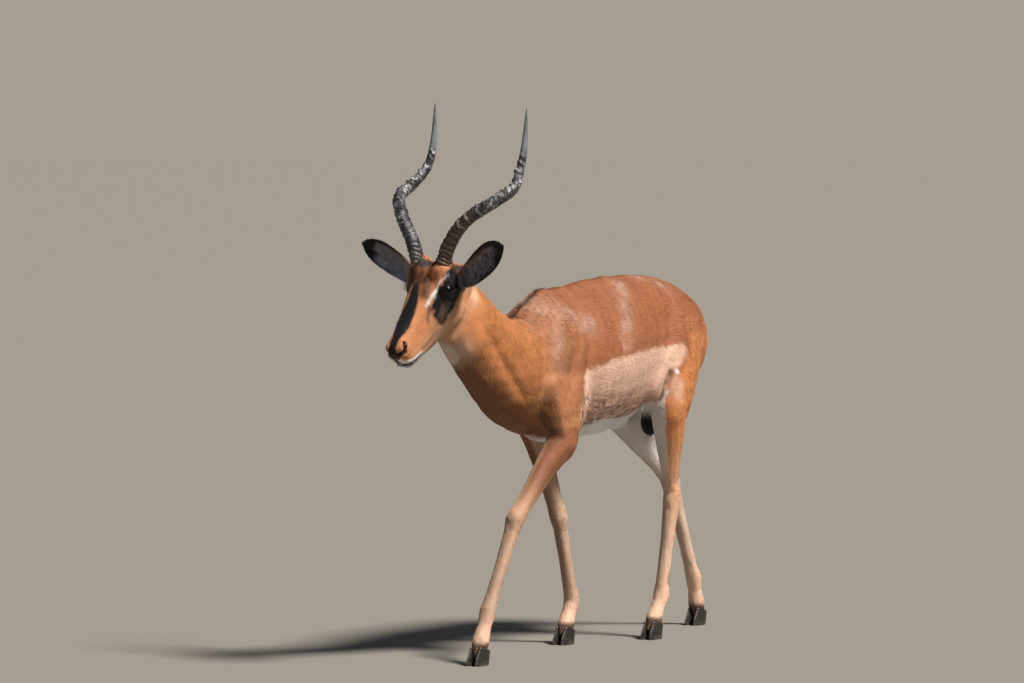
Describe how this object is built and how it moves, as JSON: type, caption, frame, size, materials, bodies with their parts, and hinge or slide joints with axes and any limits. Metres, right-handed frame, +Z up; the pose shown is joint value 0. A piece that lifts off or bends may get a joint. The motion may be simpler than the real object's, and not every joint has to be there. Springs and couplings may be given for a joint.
{
  "type": "black-faced impala ram",
  "caption": "Life-size walking male impala with lyre-shaped ringed horns, its head held low, standing on its own hooves.",
  "frame": {"origin": "on the floor, under the middle of the whole animal's box", "axes": "+Z up from the floor; the animal faces -Y and its left side is +X; +Y runs along its length, +X across it"},
  "size_m": [0.4046, 1.4019, 1.2354],
  "materials": {
    "coat": "short sleek hair: rufous saddle, tan sides, white belly, black marks",
    "horn": "ringed horn, dark, weathered pale on the ridges",
    "hoof": "satin black hoof horn",
    "eye": "wet, nearly black brown"
  },
  "bodies": {
    "root": {"head": "coat", "neck": "coat", "trunk": "coat", "tail": "coat", "scrotum": "coat", "ear_left": "coat", "ear_right": "coat", "eye_left": "eye", "eye_right": "eye", "horn_left": "horn", "horn_right": "horn", "leg_fore_left_upper": "coat", "leg_fore_left_lower": "coat", "hoof_fore_left_left": "hoof", "hoof_fore_left_right": "hoof", "leg_fore_right_upper": "coat", "leg_fore_right_lower": "coat", "hoof_fore_right_left": "hoof", "hoof_fore_right_right": "hoof", "leg_hind_left_upper": "coat", "leg_hind_left_lower": "coat", "hoof_hind_left_left": "hoof", "hoof_hind_left_right": "hoof", "leg_hind_right_upper": "coat", "leg_hind_right_lower": "coat", "hoof_hind_right_left": "hoof", "hoof_hind_right_right": "hoof"}
  },
  "joints": []
}
